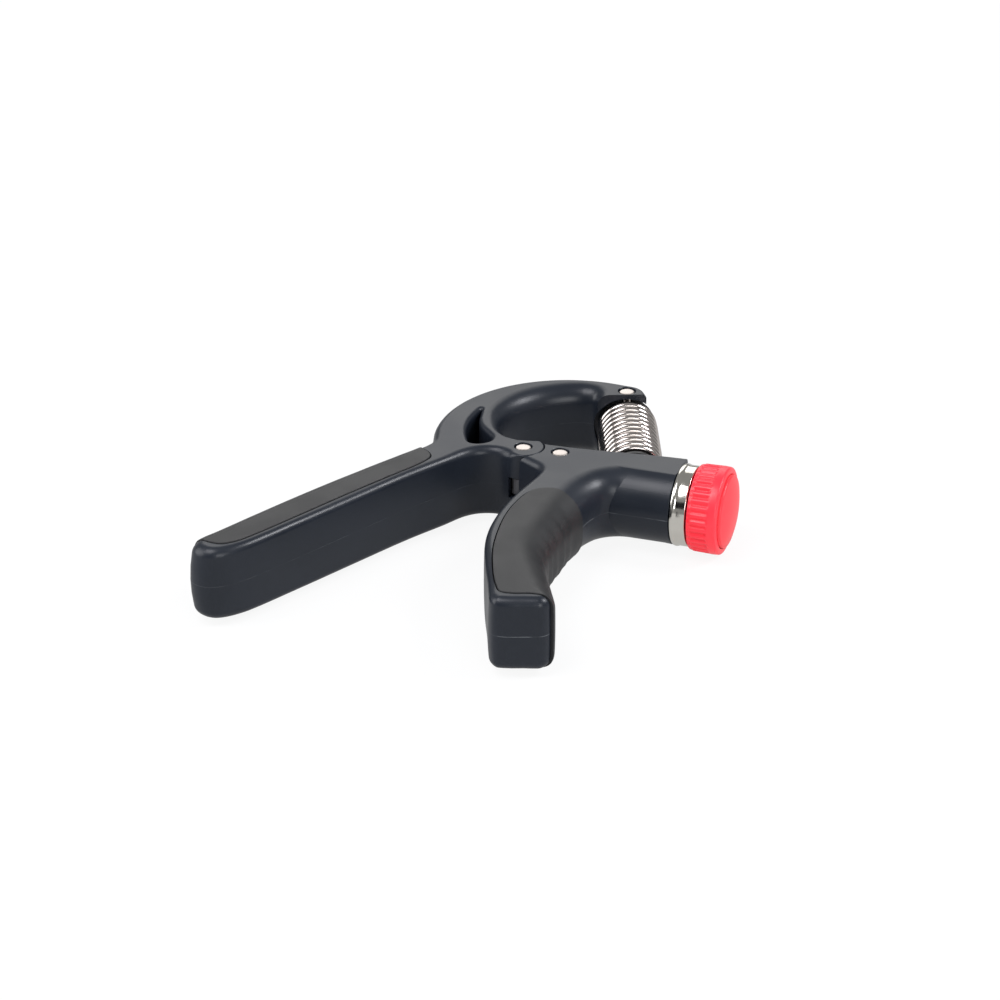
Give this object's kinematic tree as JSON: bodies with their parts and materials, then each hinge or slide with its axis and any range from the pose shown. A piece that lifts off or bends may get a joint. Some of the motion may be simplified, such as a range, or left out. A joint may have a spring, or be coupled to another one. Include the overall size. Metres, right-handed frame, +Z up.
{
  "type": "hand gripper",
  "caption": "Spring-loaded hand gripper with hinged handles, a coil spring on a C-shaped arm and a fluted knob that sets the resistance.",
  "frame": {"origin": "middle of the underside of the bounding box, with the gripper lying flat", "axes": "+Z up out of the flat side, +Y along the palm handle towards the C-shaped arm, +X from the palm handle towards the knob"},
  "size_m": [0.1086, 0.1624, 0.0255],
  "materials": {
    "palm_body": "satin charcoal plastic with soft rounded edges",
    "palm_grip": "matte soft grip panel",
    "finger_body": "satin charcoal plastic with soft rounded edges",
    "finger_grip": "matte soft grip panel",
    "hinge_tongue": "plain steel plate",
    "hinge_washer_top": "plain steel washer",
    "hinge_washer_bottom": "plain steel washer",
    "hinge_pin": "nickel plated",
    "tongue_rivet": "nickel plated",
    "spring_pin": "nickel plated",
    "spring_hanger": "black plastic",
    "spring_coil": "bright nickel plated wire",
    "spring_foot": "black plastic",
    "foot_pin": "plain steel",
    "slider_nut": "black plastic",
    "slider_insert": "plain brass",
    "adjusting_screw": "plain steel",
    "retaining_clip": "spring steel",
    "screw_bush": "plain brass",
    "thrust_washer": "plain steel",
    "ferrule": "polished nickel",
    "knob": "coral red plastic",
    "knob_cap": "coral red plastic",
    "knob_nut": "plain steel"
  },
  "bodies": {
    "palm_side": {"palm_handle": "palm_body", "palm_grip": "palm_grip", "hinge_washer_top": "hinge_washer_top", "hinge_washer_bottom": "hinge_washer_bottom", "hinge_pin": "hinge_pin"},
    "finger_side": {"finger_lever": "finger_body", "finger_grip": "finger_grip", "hinge_tongue": "hinge_tongue", "tongue_rivet": "tongue_rivet", "screw_bush": "screw_bush", "thrust_washer": "thrust_washer", "ferrule": "ferrule"},
    "knob_set": {"knob": "knob", "knob_cap": "knob_cap", "knob_nut": "knob_nut", "adjusting_screw": "adjusting_screw", "retaining_clip": "retaining_clip"},
    "slider": {"slider_nut": "slider_nut", "slider_insert": "slider_insert", "foot_pin": "foot_pin"},
    "foot": {"spring_foot": "spring_foot"},
    "upper_pin": {"spring_pin": "spring_pin"},
    "hanger": {"spring_hanger": "spring_hanger"},
    "coil": {"spring_coil": "spring_coil"}
  },
  "joints": [
    {"name": "squeeze", "type": "hinge", "parent": "palm_side", "child": "finger_side", "pos_m": [-0.01844, 0.02745, 0.01275], "axis": [0, 0, -1], "range_deg": [0, 36], "stiffness_Nm_per_rad": 12, "springref_deg": -11.46},
    {"name": "knob_turn", "type": "hinge", "parent": "finger_side", "child": "knob_set", "pos_m": [0.02682, 0.05305, 0.01275], "axis": [0.8704, 0.4924, 0], "range_deg": [-960, 960]},
    {"name": "slider_travel", "type": "slide", "parent": "finger_side", "child": "slider", "axis": [0.8704, 0.4924, 0], "range_m": [-0.00402, 0.00402]},
    {"name": "foot_tilt", "type": "hinge", "parent": "slider", "child": "foot", "pos_m": [0.00486, 0.04982, 0.01275], "axis": [0, 0, 1], "range_deg": [0, 28.5]},
    {"name": "spring_swing", "type": "hinge", "parent": "palm_side", "child": "hanger", "pos_m": [-0.02544, 0.07525, 0.01275], "axis": [0, 0, -1], "range_deg": [0, 8.5]},
    {"name": "spring_adjust", "type": "hinge", "parent": "hanger", "child": "upper_pin", "pos_m": [-0.02544, 0.07525, 0.01275], "axis": [0, 0, -1], "range_deg": [-3.85, 3.85]},
    {"name": "spring_stretch", "type": "slide", "parent": "upper_pin", "child": "coil", "axis": [0.766, -0.6428, 0], "range_m": [0, 0.0191], "deforming": ["spring_coil"]}
  ],
  "couplings": [
    {"joint": "slider_travel", "follows": "knob_turn", "m_per_rad": -0.00023873},
    {"joint": "foot_tilt", "follows": "squeeze", "ratio": 0.7712},
    {"joint": "spring_swing", "follows": "squeeze", "ratio": 0.2288},
    {"joint": "spring_adjust", "follows": "knob_turn", "ratio": 0.003963},
    {"joint": "spring_stretch", "follows": "squeeze", "m_per_rad": 0.030065}
  ]
}
